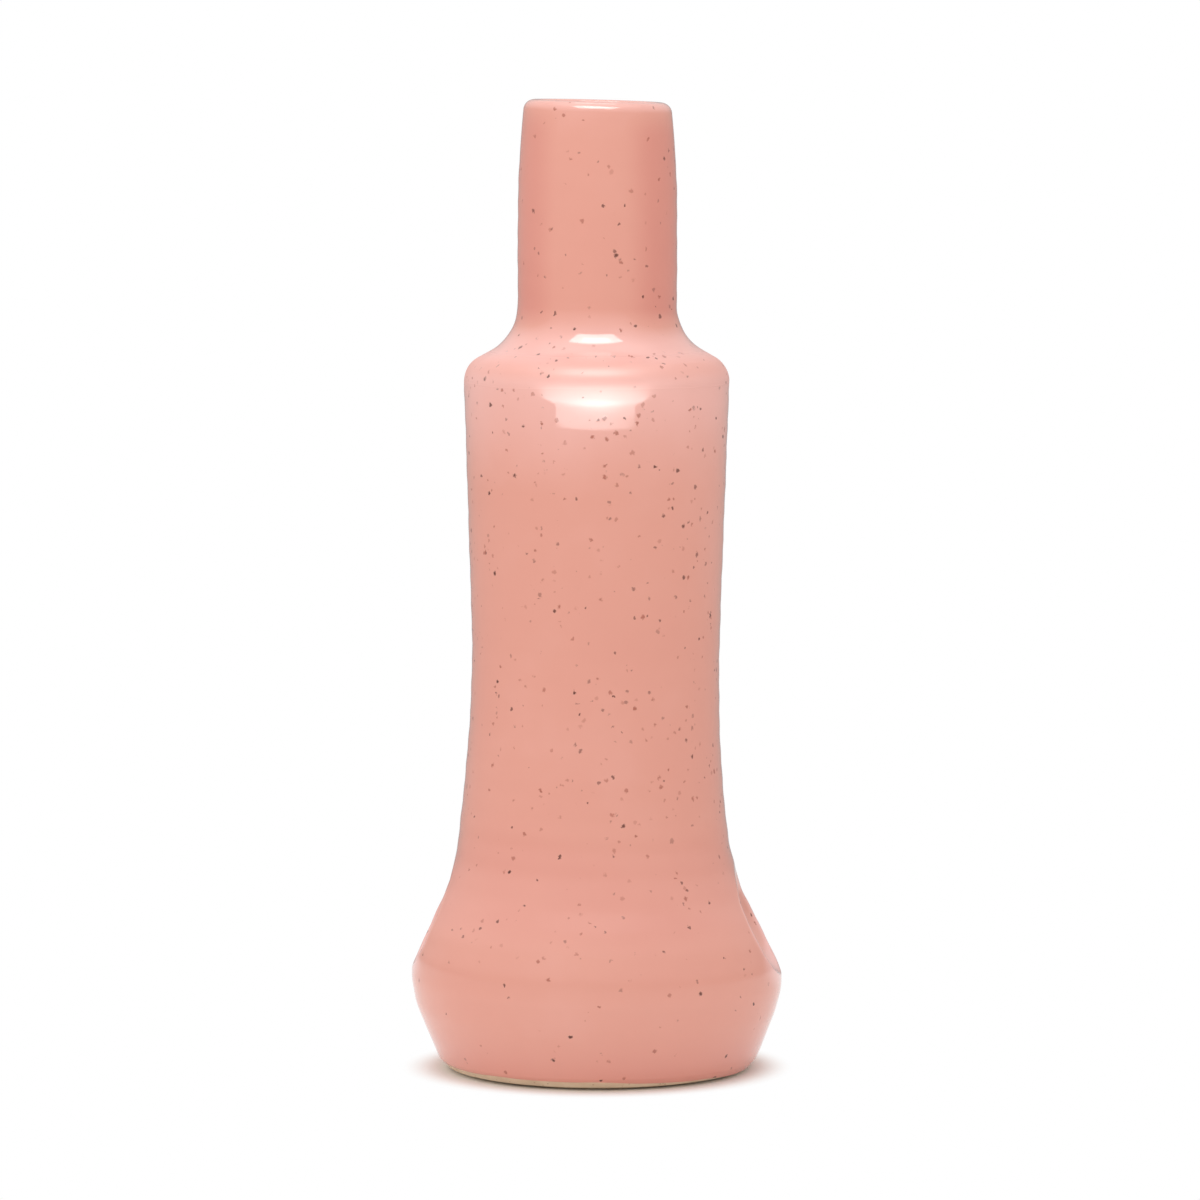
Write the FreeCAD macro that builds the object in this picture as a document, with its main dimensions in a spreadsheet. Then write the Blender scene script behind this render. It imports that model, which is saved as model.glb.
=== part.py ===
import FreeCAD, Part
import math
import os

import Sketcher

# A thrown stoneware bottle vase, glazed inside and out, with a bare trimmed foot and a thumb mark pressed
# into each side of its belly. The origin is on the ground under the middle of the foot, +Z is up, and the
# two thumb marks face +X and -X. Lengths are in millimetres and angles in degrees. Radii and rounds are
# those of the glazed outside unless their name says otherwise, and heights are above the ground.
SIZES = {
    "overall_height": 254,
    "clay_wall": 5.0,
    "glaze": 0.4,
    # neck, from the lip down to the start of its base's curve, drawn in a little towards the lip
    "neck_radius": 20.8,
    "neck_length": 53.2,
    "neck_draw_length": 32,
    "neck_draw_round": 300,
    "lap_depth": 8,
    # sloping shoulder
    "neck_base_round": 13.5,
    "shoulder_slope": 60.8,
    "shoulder_round": 7.0,
    "shoulder_inside_round": 3.5,
    # long side, which narrows to a waist
    "side_taper": 1.9,
    "waist_radius": 32.45,
    "waist_height": 108,
    "waist_round": 358,
    # flare, and the belly, which stands out beyond the waist
    "flare_round": 50,
    "belly_reach": 16.25,
    "belly_height": 25.5,
    "belly_round": 30,
    # foot, trimmed bare under the glaze line
    "foot_taper": 22,
    "foot_round": 6.2,
    "foot_ring_width": 7,
    "foot_edge_round": 1.0,
    "recess_depth": 2.5,
    "recess_slope": 30,
    "base_thickness": 6,
    "floor_round": 6,
    "glaze_line": 1.2,
    # thumb marks, pressed in towards the axis from the side of the belly
    "press_sink": 10.1,
    "press_rise": 12.5,
    "press_tilt": 21.3,
    "press_fore_round": 24.4,
    "press_side_round": 40.3,
    "press_reach": 22,
    "ridge_round": 1.5,
    "crease_round": 2.0,
}

# What lies between the glazed outside and each of the four surfaces of the pot.
GLAZED_OUTSIDE = ()
CLAY_OUTSIDE = ("glaze",)
CLAY_INSIDE = ("glaze", "clay_wall")
GLAZED_INSIDE = ("glaze", "clay_wall", "glaze")
COAT = ("glaze",)

# A sketch's own origin point, its level line and its upright line, which is the pot's axis.
ORIGIN = (-1, 1)
LEVEL_INDEX = -1
AXIS_INDEX = -2


def depth(layers):
    """How far a surface lies inside the glazed outside."""
    return sum(SIZES[layer] for layer in layers)


def added(layers):
    """The same depth as an expression to add."""
    return "".join(" + sizes." + layer for layer in layers)


def half_wall():
    """Half the wall with its two coats, which is the round of the lip."""
    return depth(GLAZED_INSIDE) / 2


def belly_radius():
    """The glazed outside's greatest radius."""
    return SIZES["waist_radius"] + SIZES["belly_reach"]


def taken(layers):
    """The same depth as an expression to take away."""
    return "".join(" - sizes." + layer for layer in layers)


def heading(angle):
    """Unit vector at an angle, in radians, from the direction that points away from the axis."""
    return FreeCAD.Vector(math.cos(angle), math.sin(angle), 0)


def crossing(first, first_reach, second, second_reach):
    """The point whose distance along each of two unit vectors is given."""
    span = first.x * second.y - first.y * second.x
    across = (first_reach * second.y - second_reach * first.y) / span
    up = (second_reach * first.x - first_reach * second.x) / span
    return FreeCAD.Vector(across, up, 0)


def touching(lower, lower_gap, upper, upper_gap):
    """The point outside the pot at one distance from one centre and another distance from the other."""
    span = upper - lower
    along = (lower_gap**2 - upper_gap**2 + span.Length**2) / (2 * span.Length)
    aside = math.sqrt(lower_gap**2 - along**2)
    unit = FreeCAD.Vector(span).normalize()
    return lower + unit * along + FreeCAD.Vector(-unit.y, unit.x, 0) * aside


def outline(layers, shoulder_inset, foot_height, foot_round):
    """Centres of the arcs of one surface's section, and the angles at which its arcs and lines meet."""
    inset = depth(layers)
    places = {}
    places["slope"] = math.radians(SIZES["shoulder_slope"])
    places["side"] = -math.radians(SIZES["side_taper"])
    places["taper"] = -math.radians(SIZES["foot_taper"])
    slope_way = heading(places["slope"])
    side_way = heading(places["side"])
    taper_way = heading(places["taper"])

    draw_across = SIZES["neck_radius"] - SIZES["neck_draw_round"]
    draw = FreeCAD.Vector(draw_across, SIZES["overall_height"] - SIZES["neck_draw_length"], 0)
    lip_up = SIZES["overall_height"] - half_wall()
    lip_reach = SIZES["neck_draw_round"] - half_wall()
    places["draw"] = draw
    places["lip"] = FreeCAD.Vector(draw.x + math.sqrt(lip_reach**2 - (lip_up - draw.y) ** 2), lip_up, 0)
    places["lip_angle"] = math.asin((lip_up - draw.y) / lip_reach)

    base_across = SIZES["neck_radius"] + SIZES["neck_base_round"]
    neck_base = FreeCAD.Vector(base_across, SIZES["overall_height"] - SIZES["neck_length"], 0)
    waist = FreeCAD.Vector(SIZES["waist_radius"] + SIZES["waist_round"], SIZES["waist_height"], 0)
    belly = FreeCAD.Vector(belly_radius() - SIZES["belly_round"], SIZES["belly_height"], 0)
    belly_gap = SIZES["belly_round"] + SIZES["flare_round"]
    waist_gap = SIZES["waist_round"] - SIZES["flare_round"]
    flare = touching(belly, belly_gap, waist, waist_gap)
    slope_reach = slope_way.dot(neck_base) - SIZES["neck_base_round"] - shoulder_inset
    side_reach = side_way.dot(waist) - SIZES["waist_round"] - shoulder_inset
    places["neck_base"] = neck_base
    places["shoulder"] = crossing(slope_way, slope_reach, side_way, side_reach)
    places["waist"] = waist
    places["flare"] = flare
    places["belly"] = belly
    places["waist_angle"] = math.atan2(waist.y - flare.y, waist.x - flare.x)
    places["flare_angle"] = math.atan2(flare.y - belly.y, flare.x - belly.x)

    taper_reach = taper_way.dot(belly) + SIZES["belly_round"] - inset - foot_round
    foot_up = foot_height + foot_round
    places["foot"] = crossing(taper_way, taper_reach, FreeCAD.Vector(0, 1, 0), foot_up)
    return places


class Section:
    """A closed run of lines and arcs in a sketch, drawn in order and joined end to start."""

    def __init__(self, sketch):
        self.sketch = sketch
        self.links = []
        self.joins = []
        self.end = None

    def line(self, end, smooth=False):
        """Add a straight line from the run's end."""
        number = self.sketch.addGeometry(Part.LineSegment(self.end, end), False)
        self.link(number, 1, 2, end, smooth)
        return number

    def arc(self, centre, radius, first, last, smooth=True):
        """Add an arc from the run's end, from one angle about its centre to another."""
        low, high = min(first, last), max(first, last)
        circle = Part.Circle(centre, FreeCAD.Vector(0, 0, 1), radius)
        number = self.sketch.addGeometry(Part.ArcOfCircle(circle, low, high), False)
        ends = (1, 2) if first < last else (2, 1)
        self.link(number, ends[0], ends[1], centre + heading(last) * radius, smooth)
        return number

    def link(self, number, start_end, far_end, end, smooth):
        """Join a new link to the one before it."""
        if self.links:
            kind = "Tangent" if smooth else "Coincident"
            self.joins.append(Sketcher.Constraint(kind, *self.links[-1][1], number, start_end))
        self.links.append(((number, start_end), (number, far_end)))
        self.end = end

    def close(self, start):
        """Draw the last line up or down the axis and join it to the first link."""
        number = self.line(start)
        self.joins.append(Sketcher.Constraint("Coincident", number, 2, *self.links[0][0]))
        self.joins.append(Sketcher.Constraint("PointOnObject", number, 1, AXIS_INDEX))
        self.joins.append(Sketcher.Constraint("PointOnObject", number, 2, AXIS_INDEX))
        self.sketch.addConstraint(self.joins)

    def start(self, point):
        """Put the first link's start here."""
        self.end = point


def bind(sketch, name, expression, kind, *where):
    """Add a dimension to a sketch and tie it to the sheet."""
    number = sketch.addConstraint(Sketcher.Constraint(kind, *where))
    sketch.renameConstraint(number, name)
    sketch.setExpression("Constraints." + name, expression)


def origin_plane(body, role):
    """One of a body's own origin planes."""
    return next(plane for plane in body.Origin.OriginFeatures if plane.Role == role)


def new_sketch(body, name, role):
    """A sketch on one of a body's origin planes."""
    sketch = body.newObject("Sketcher::SketchObject", name)
    sketch.AttachmentSupport = [(origin_plane(body, role), "")]
    sketch.MapMode = "FlatFace"
    return sketch


def draw_side(section, places, layers, shoulder_round):
    """The outline from the neck's draw down to the foot taper, with its dimensions."""
    sketch = section.sketch
    inset = depth(layers)
    away = taken(layers)
    neck = SIZES["neck_radius"] - inset
    half_turn = math.pi
    base_radius = SIZES["neck_base_round"] + inset
    waist_radius = SIZES["waist_round"] + inset
    flare_radius = SIZES["flare_round"] + inset
    belly_radius = SIZES["belly_round"] - inset
    shoulder_way = heading(places["side"])
    slope_way = heading(places["slope"])

    neck_line = section.line(FreeCAD.Vector(neck, places["neck_base"].y, 0), smooth=True)
    base = section.arc(places["neck_base"], base_radius, half_turn, half_turn + places["slope"])
    slope = section.line(places["shoulder"] + slope_way * shoulder_round, smooth=True)
    shoulder = section.arc(places["shoulder"], shoulder_round, places["slope"], places["side"])
    side = section.line(places["waist"] - shoulder_way * waist_radius, smooth=True)
    waist = section.arc(
        places["waist"], waist_radius, half_turn + places["side"], half_turn + places["waist_angle"]
    )
    flare = section.arc(
        places["flare"], flare_radius, half_turn + places["waist_angle"], half_turn + places["flare_angle"]
    )
    belly = section.arc(places["belly"], belly_radius, places["flare_angle"], places["taper"])

    sketch.addConstraint(Sketcher.Constraint("Vertical", neck_line))
    bind(sketch, "neck_radius", "sizes.neck_radius" + away, "DistanceX", *ORIGIN, neck_line, 1, neck)
    bind(sketch, "neck_base_round", "sizes.neck_base_round" + added(layers), "Radius", base, base_radius)
    height = places["neck_base"].y
    text = "sizes.overall_height - sizes.neck_length"
    bind(sketch, "neck_base_height", text, "DistanceY", *ORIGIN, base, 3, height)
    turned = places["slope"] - math.pi / 2
    bind(sketch, "shoulder_slope", "sizes.shoulder_slope - 90", "Angle", slope, turned)
    turned = places["side"] - math.pi / 2
    bind(sketch, "side_taper", "-sizes.side_taper - 90", "Angle", side, turned)
    bind(sketch, "waist_round", "sizes.waist_round" + added(layers), "Radius", waist, waist_radius)
    across = places["waist"].x
    text = "sizes.waist_radius + sizes.waist_round"
    bind(sketch, "waist_across", text, "DistanceX", *ORIGIN, waist, 3, across)
    bind(sketch, "waist_height", "sizes.waist_height", "DistanceY", *ORIGIN, waist, 3, places["waist"].y)
    bind(sketch, "flare_round", "sizes.flare_round" + added(layers), "Radius", flare, flare_radius)
    bind(sketch, "belly_round", "sizes.belly_round" + away, "Radius", belly, belly_radius)
    across = places["belly"].x
    text = "sizes.waist_radius + sizes.belly_reach - sizes.belly_round"
    bind(sketch, "belly_across", text, "DistanceX", *ORIGIN, belly, 3, across)
    bind(sketch, "belly_height", "sizes.belly_height", "DistanceY", *ORIGIN, belly, 3, places["belly"].y)
    return shoulder


def draw_taper(section, places, radius):
    """The straight taper under the belly and the round at its foot, which has no dimensions yet."""
    taper = section.line(places["foot"] + heading(places["taper"]) * radius, smooth=True)
    turned = places["taper"] - math.pi / 2
    bind(section.sketch, "foot_taper", "-sizes.foot_taper - 90", "Angle", taper, turned)


def outside_sketch(body, layers, coat):
    """Half section of the pot's whole outside, over the lip and down to the lap inside the mouth.

    The clay goes down to the ground and under the foot ring. The glaze stops at its own line above it.
    """
    places = outline(layers, SIZES["shoulder_round"], 0, SIZES["foot_round"])
    inset = depth(layers)
    sketch = new_sketch(body, body.Name + "_section", "YZ_Plane")
    section = Section(sketch)
    lip_radius = half_wall() - inset
    draw_radius = SIZES["neck_draw_round"] - inset
    inner_radius = draw_radius - 2 * lip_radius
    lap_height = SIZES["overall_height"] - SIZES["lap_depth"]
    lap_angle = math.asin((lap_height - places["draw"].y) / inner_radius)

    start = FreeCAD.Vector(0, lap_height, 0)
    section.start(start)
    lap = section.line(places["draw"] + heading(lap_angle) * inner_radius)
    inner = section.arc(places["draw"], inner_radius, lap_angle, places["lip_angle"], smooth=False)
    lip = section.arc(places["lip"], lip_radius, places["lip_angle"] + math.pi, places["lip_angle"])
    draw = section.arc(places["draw"], draw_radius, places["lip_angle"], 0)
    shoulder_round = SIZES["shoulder_round"] - inset
    shoulder = draw_side(section, places, layers, shoulder_round)
    draw_taper(section, places, SIZES["foot_round"])

    away = taken(layers)
    lip_text = "(" + " + ".join("sizes." + layer for layer in GLAZED_INSIDE) + ") / 2"
    sketch.addConstraint(Sketcher.Constraint("Horizontal", lap))
    sketch.addConstraint(Sketcher.Constraint("Coincident", inner, 3, draw, 3))
    lap_text = "sizes.overall_height - sizes.lap_depth"
    bind(sketch, "lap_height", lap_text, "DistanceY", *ORIGIN, lap, 1, lap_height)
    lip_height = "sizes.overall_height - " + lip_text
    bind(sketch, "lip_height", lip_height, "DistanceY", *ORIGIN, lip, 3, places["lip"].y)
    bind(sketch, "lip_round", lip_text + away, "Radius", lip, lip_radius)
    bind(sketch, "neck_draw_round", "sizes.neck_draw_round" + away, "Radius", draw, draw_radius)
    draw_text = "sizes.overall_height - sizes.neck_draw_length"
    bind(sketch, "neck_draw_height", draw_text, "DistanceY", *ORIGIN, draw, 3, places["draw"].y)
    bind(sketch, "shoulder_round", "sizes.shoulder_round" + away, "Radius", shoulder, shoulder_round)
    if coat:
        draw_foot(section, places)
    else:
        draw_glaze_edge(section, places)
    section.close(start)
    return sketch


def draw_foot(section, places):
    """The clay's foot: a round down to the ground, the foot ring and the trimmed recess inside it."""
    sketch = section.sketch
    edge = SIZES["foot_edge_round"]
    slope = math.radians(SIZES["recess_slope"])
    contact = places["foot"].x
    ring_inside = contact - SIZES["foot_ring_width"]

    foot = section.arc(places["foot"], SIZES["foot_round"], places["taper"], -math.pi / 2)
    ground = section.line(FreeCAD.Vector(ring_inside, 0, 0), smooth=True)
    slope_end = -math.pi + slope
    inner_edge = section.arc(FreeCAD.Vector(ring_inside, edge, 0), edge, -math.pi / 2, slope_end)
    recess_top = section.end.x - (SIZES["recess_depth"] - section.end.y) * math.tan(slope)
    recess = section.line(FreeCAD.Vector(recess_top, SIZES["recess_depth"], 0), smooth=True)
    ceiling = section.line(FreeCAD.Vector(0, SIZES["recess_depth"], 0))

    sketch.addConstraint(Sketcher.Constraint("PointOnObject", ground, 1, LEVEL_INDEX))
    sketch.addConstraint(Sketcher.Constraint("Horizontal", ground))
    sketch.addConstraint(Sketcher.Constraint("Horizontal", ceiling))
    bind(sketch, "foot_round", "sizes.foot_round", "Radius", foot, SIZES["foot_round"])
    width = SIZES["foot_ring_width"]
    bind(sketch, "foot_ring_width", "sizes.foot_ring_width", "DistanceX", ground, 2, ground, 1, width)
    bind(sketch, "foot_edge_round", "sizes.foot_edge_round", "Radius", inner_edge, edge)
    turned = math.pi / 2 + slope
    bind(sketch, "recess_slope", "90 + sizes.recess_slope", "Angle", recess, turned)
    deep = SIZES["recess_depth"]
    bind(sketch, "recess_depth", "sizes.recess_depth", "DistanceY", *ORIGIN, recess, 2, deep)


def draw_glaze_edge(section, places):
    """The foot round as far down as the glaze goes, then in and up through the clay of the foot ring."""
    sketch = section.sketch
    radius = SIZES["foot_round"]
    last = math.asin((SIZES["glaze_line"] - radius) / radius)
    inward = SIZES["foot_ring_width"] / 2
    middle = SIZES["recess_depth"] + SIZES["base_thickness"] / 2
    foot = section.arc(places["foot"], radius, places["taper"], last)
    edge = section.line(FreeCAD.Vector(places["foot"].x - inward, SIZES["glaze_line"], 0))
    riser = section.line(FreeCAD.Vector(section.end.x, middle, 0))
    level = section.line(FreeCAD.Vector(0, middle, 0))

    sketch.addConstraint(Sketcher.Constraint("Horizontal", edge))
    sketch.addConstraint(Sketcher.Constraint("Vertical", riser))
    sketch.addConstraint(Sketcher.Constraint("Horizontal", level))
    bind(sketch, "foot_round", "sizes.foot_round", "Radius", foot, radius)
    bind(sketch, "foot_height", "sizes.foot_round", "DistanceY", *ORIGIN, foot, 3, radius)
    bind(sketch, "glaze_line", "sizes.glaze_line", "DistanceY", *ORIGIN, edge, 1, SIZES["glaze_line"])
    bind(sketch, "in_the_ring", "sizes.foot_ring_width / 2", "DistanceX", edge, 2, foot, 3, inward)
    middle_text = "sizes.recess_depth + sizes.base_thickness / 2"
    bind(sketch, "in_the_base", middle_text, "DistanceY", *ORIGIN, level, 2, middle)


def inside_sketch(body, layers, coat):
    """Half section of the hollow, from the lap down to the floor.

    The coat is what covers the clay's floor.
    """
    inset = depth(layers)
    floor_round = SIZES["floor_round"] - depth(coat)
    floor = SIZES["recess_depth"] + SIZES["base_thickness"] + depth(coat)
    shoulder_inset = depth(CLAY_INSIDE) + SIZES["shoulder_inside_round"]
    places = outline(layers, shoulder_inset, floor, floor_round)
    sketch = new_sketch(body, body.Name + "_section", "YZ_Plane")
    section = Section(sketch)
    draw_radius = SIZES["neck_draw_round"] - inset
    lap_height = SIZES["overall_height"] - SIZES["lap_depth"]
    lap_angle = math.asin((lap_height - places["draw"].y) / draw_radius)

    start = FreeCAD.Vector(0, lap_height, 0)
    section.start(start)
    lap = section.line(places["draw"] + heading(lap_angle) * draw_radius)
    draw = section.arc(places["draw"], draw_radius, lap_angle, 0, smooth=False)
    shoulder_round = SIZES["shoulder_inside_round"] - depth(coat)
    shoulder = draw_side(section, places, layers, shoulder_round)
    draw_taper(section, places, floor_round)
    corner = section.arc(places["foot"], floor_round, places["taper"], -math.pi / 2)
    bottom = section.line(FreeCAD.Vector(0, floor, 0), smooth=True)

    away = taken(layers)
    coated = taken(coat)
    sketch.addConstraint(Sketcher.Constraint("Horizontal", lap))
    sketch.addConstraint(Sketcher.Constraint("Horizontal", bottom))
    lap_text = "sizes.overall_height - sizes.lap_depth"
    bind(sketch, "lap_height", lap_text, "DistanceY", *ORIGIN, lap, 1, lap_height)
    bind(sketch, "neck_draw_round", "sizes.neck_draw_round" + away, "Radius", draw, draw_radius)
    draw_text = "sizes.overall_height - sizes.neck_draw_length"
    bind(sketch, "neck_draw_height", draw_text, "DistanceY", *ORIGIN, draw, 3, places["draw"].y)
    inside_text = "sizes.shoulder_inside_round" + coated
    bind(sketch, "shoulder_round", inside_text, "Radius", shoulder, shoulder_round)
    bind(sketch, "floor_round", "sizes.floor_round" + coated, "Radius", corner, floor_round)
    floor_text = "sizes.recess_depth + sizes.base_thickness" + added(coat)
    bind(sketch, "floor_height", floor_text, "DistanceY", *ORIGIN, bottom, 2, floor)
    section.close(start)
    return sketch


def press_sketch(body, layers):
    """Half section of what a thumb takes away, square to the line along which it pushes in."""
    tilt = math.radians(SIZES["press_tilt"])
    push = heading(tilt)
    along = heading(tilt + math.pi / 2)
    floor_height = SIZES["belly_height"] + SIZES["press_rise"]
    floor = FreeCAD.Vector(belly_radius() - SIZES["press_sink"], floor_height, 0)
    pivot = floor + push * SIZES["press_side_round"]
    centre = floor + push * SIZES["press_fore_round"]
    radius = SIZES["press_fore_round"] + depth(layers)
    reach = SIZES["press_reach"]
    spread = math.asin(reach / radius)
    sketch = new_sketch(body, body.Name + "_press", "XZ_Plane")

    section = Section(sketch)
    section.start(pivot - along * reach)
    spindle = section.line(pivot + along * reach)
    first = tilt + math.pi - spread
    last = tilt + math.pi + spread
    upper = section.line(centre + heading(first) * radius)
    arc = section.arc(centre, radius, first, last, smooth=False)
    lower = section.line(pivot - along * reach)
    sketch.addConstraint(section.joins)
    sketch.addConstraint(Sketcher.Constraint("Coincident", lower, 2, spindle, 1))
    push_line = sketch.addGeometry(Part.LineSegment(floor, pivot), True)
    sketch.addConstraint(Sketcher.Constraint("PointOnObject", arc, 3, push_line))
    sketch.addConstraint(Sketcher.Constraint("Perpendicular", spindle, push_line))
    sketch.addConstraint(Sketcher.Constraint("Perpendicular", spindle, upper))
    sketch.addConstraint(Sketcher.Constraint("Perpendicular", spindle, lower))
    sketch.addConstraint(Sketcher.Constraint("Symmetric", spindle, 1, spindle, 2, push_line, 2))
    sink_text = "sizes.waist_radius + sizes.belly_reach - sizes.press_sink"
    bind(sketch, "press_across", sink_text, "DistanceX", *ORIGIN, push_line, 1, floor.x)
    rise_text = "sizes.belly_height + sizes.press_rise"
    bind(sketch, "press_height", rise_text, "DistanceY", *ORIGIN, push_line, 1, floor.y)
    bind(sketch, "press_tilt", "sizes.press_tilt", "Angle", push_line, tilt)
    length = SIZES["press_side_round"]
    bind(sketch, "press_side_round", "sizes.press_side_round", "Distance", push_line, length)
    length = SIZES["press_fore_round"]
    bind(sketch, "press_fore", "sizes.press_fore_round", "Distance", push_line, 1, arc, 3, length)
    fore_text = "sizes.press_fore_round" + added(layers)
    bind(sketch, "press_fore_round", fore_text, "Radius", arc, radius)
    bind(sketch, "press_reach", "2 * sizes.press_reach", "Distance", spindle, 2 * reach)
    return sketch


def press_edges(shape):
    """Names of the edges round the pressed hollows, whose faces turn about a tilted line."""
    upright = FreeCAD.Vector(0, 0, 1)
    pressed = []
    for face in shape.Faces:
        surface = face.Surface
        way = getattr(surface, "Axis", None) or getattr(surface, "Direction", upright)
        if way.cross(upright).Length > math.sin(math.radians(SIZES["press_tilt"])) / 2:
            pressed.append(face)
    names = []
    for number, edge in enumerate(shape.Edges, 1):
        if any(edge.isSame(other) for face in pressed for other in face.Edges):
            names.append("Edge" + str(number))
    return names


def pressed_form(document, name, sketch_of, ridge, layers, coats):
    """One surface of the pot as a solid body: its section turned about the axis, with both thumb marks.

    The coats are those of its layers that lie between it and the surface that the ridge's round is given
    for.
    """
    body = document.addObject("PartDesign::Body", name)
    turned = body.newObject("PartDesign::Revolution", name + "_turned")
    section = sketch_of(body, layers, coats)
    turned.Profile = section
    turned.ReferenceAxis = (section, ["V_Axis"])
    turned.Angle = 360
    document.recompute()
    press = press_sketch(body, layers)
    mark = body.newObject("PartDesign::Groove", name + "_mark")
    mark.Profile = press
    mark.ReferenceAxis = (press, ["Edge1"])
    mark.Midplane = True
    mark.Angle = 180
    document.recompute()
    both = body.newObject("PartDesign::Mirrored", name + "_marks")
    both.Originals = [mark]
    both.MirrorPlane = (origin_plane(body, "YZ_Plane"), [""])
    body.Tip = both
    document.recompute()
    sunk = turned.Shape.Volume - mark.Shape.Volume
    sunk_both = turned.Shape.Volume - both.Shape.Volume
    print(name, "turned mm3", round(turned.Shape.Volume), "marks", round(sunk), round(sunk_both))
    if sunk <= 0 or sunk_both <= sunk:
        raise ValueError("a thumb mark cuts nothing from " + name)
    softened = body.newObject("PartDesign::Fillet", name + "_ridges")
    softened.Base = (both, press_edges(both.Shape))
    softened.Radius = SIZES[ridge] - depth(coats)
    softened.setExpression("Radius", "sizes." + ridge + taken(coats))
    body.Tip = softened
    document.recompute()
    return body


def subtract(document, name, base, tool):
    """A sub-part that is one form less another."""
    piece = document.addObject("Part::Cut", name)
    piece.Label = name
    piece.Base = base
    piece.Tool = tool
    return piece


def build():
    """Make the document and write each sub-part's solid."""
    document = FreeCAD.newDocument("bottle_vase")
    sheet = document.addObject("Spreadsheet::Sheet", "sizes")
    for row, (name, value) in enumerate(SIZES.items(), 1):
        sheet.set("A" + str(row), name)
        sheet.set("B" + str(row), str(value))
        sheet.setAlias("B" + str(row), name)
    document.recompute()

    outside = (outside_sketch, "ridge_round")
    inside = (inside_sketch, "crease_round")
    glazed_outside = pressed_form(document, "glazed_outside", *outside, GLAZED_OUTSIDE, ())
    clay_outside = pressed_form(document, "clay_outside", *outside, CLAY_OUTSIDE, COAT)
    clay_inside = pressed_form(document, "clay_inside", *inside, CLAY_INSIDE, ())
    glazed_inside = pressed_form(document, "glazed_inside", *inside, GLAZED_INSIDE, COAT)
    pieces = [
        subtract(document, "stoneware_body", clay_outside, clay_inside),
        subtract(document, "outer_glaze", glazed_outside, clay_outside),
        subtract(document, "inner_glaze", clay_inside, glazed_inside),
    ]
    document.recompute()

    for item in document.Objects:
        if "Invalid" in item.State or "Error" in item.State:
            raise ValueError(item.Name + " did not build: " + str(item.State))
    for piece in pieces:
        shape = piece.Shape
        if shape.isNull() or not shape.isValid():
            raise ValueError(piece.Label + " has no valid shape")
        print(piece.Label, "solids", len(shape.Solids), "mm3", round(shape.Volume))
    os.makedirs("parts", exist_ok=True)
    for piece in pieces:
        piece.Shape.exportStep("parts/" + piece.Label + ".step")


build()
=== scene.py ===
import math

import bpy
import numpy as np
from bpy.props import FloatProperty, FloatVectorProperty, PointerProperty
from bpy.types import Operator, Panel, PropertyGroup
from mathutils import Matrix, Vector


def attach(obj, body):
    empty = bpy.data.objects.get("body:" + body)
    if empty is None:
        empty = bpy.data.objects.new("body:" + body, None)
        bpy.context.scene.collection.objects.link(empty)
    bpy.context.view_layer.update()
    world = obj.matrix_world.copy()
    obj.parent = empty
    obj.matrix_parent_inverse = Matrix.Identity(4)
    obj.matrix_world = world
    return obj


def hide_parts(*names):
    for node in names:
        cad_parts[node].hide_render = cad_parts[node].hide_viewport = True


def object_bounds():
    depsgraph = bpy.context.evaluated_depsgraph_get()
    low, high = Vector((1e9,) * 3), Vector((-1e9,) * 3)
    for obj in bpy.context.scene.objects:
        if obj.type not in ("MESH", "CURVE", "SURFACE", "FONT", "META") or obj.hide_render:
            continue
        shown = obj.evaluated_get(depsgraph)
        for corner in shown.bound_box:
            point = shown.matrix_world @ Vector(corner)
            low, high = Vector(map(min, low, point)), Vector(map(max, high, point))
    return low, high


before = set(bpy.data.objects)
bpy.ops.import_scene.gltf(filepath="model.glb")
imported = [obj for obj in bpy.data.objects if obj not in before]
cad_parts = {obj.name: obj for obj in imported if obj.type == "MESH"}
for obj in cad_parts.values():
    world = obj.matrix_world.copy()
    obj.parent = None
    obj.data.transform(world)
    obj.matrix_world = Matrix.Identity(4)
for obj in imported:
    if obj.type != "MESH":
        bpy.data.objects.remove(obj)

bl_info = {
    "name": "Bottle vase",
    "version": (1, 0, 0),
    "blender": (4, 5, 0),
    "location": "3D View > Sidebar > Vase",
    "description": "Throws, thumbs and glazes a stoneware bottle vase round its packed solids",
    "category": "Object",
}

CAD_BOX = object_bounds()
MM = 0.001
MEETS = MM / 1000  # ends of the section closer than this need no line between them
WELD = MM / 500  # points closer than this are one
DOWN = -math.pi / 2
SMOOTH_UP_TO = math.radians(50)

# Heights over the belly's widest part, from where to where something changes
RIDGE_FADES = np.array((20, 29)) * MM  # the ridge round a thumb mark softens and runs out
# The pale band along each ridge is thinner glaze and a painted highlight; it is widest at the
# mark's lower tip.
PALE_NARROWS = np.array((1, 7)) * MM  # the pale band on it narrows, from the mark's lower tip up


class Row:
    """How long a row of faces is on each stretch of a section."""

    lap = 1.2 * MM
    lip = 0.35 * MM
    neck = 2 * MM
    neck_base = 0.7 * MM
    shoulder = 0.4 * MM
    side = 2 * MM
    belly = 0.6 * MM
    foot = 0.4 * MM
    glazed_foot = 0.35 * MM
    hidden_foot = 0.7 * MM
    foot_edge = 0.1 * MM
    ring_edge = 0.25 * MM
    recess = 0.6 * MM
    underside = 1.5 * MM
    floor_edge = 1 * MM
    liner_edge = 0.8 * MM
    hollow = 3 * MM
    glazed_line = 2.5 * MM
    plain_line = 4 * MM
    hidden_floor = 6 * MM


def linear(code):
    """Linear colour of an sRGB hex code, by the curve of the sRGB standard."""
    shares = [int(code[place:place + 2], 16) / 255 for place in (1, 3, 5)]
    return tuple(v / 12.92 if v <= 0.04045 else ((v + 0.055) / 1.055) ** 2.4 for v in shares)


def length(name, millimetres, text):
    """A size in metres, given in millimetres."""
    return FloatProperty(
        name=name, description=text, default=millimetres * MM, unit="LENGTH", min=0
    )


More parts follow.
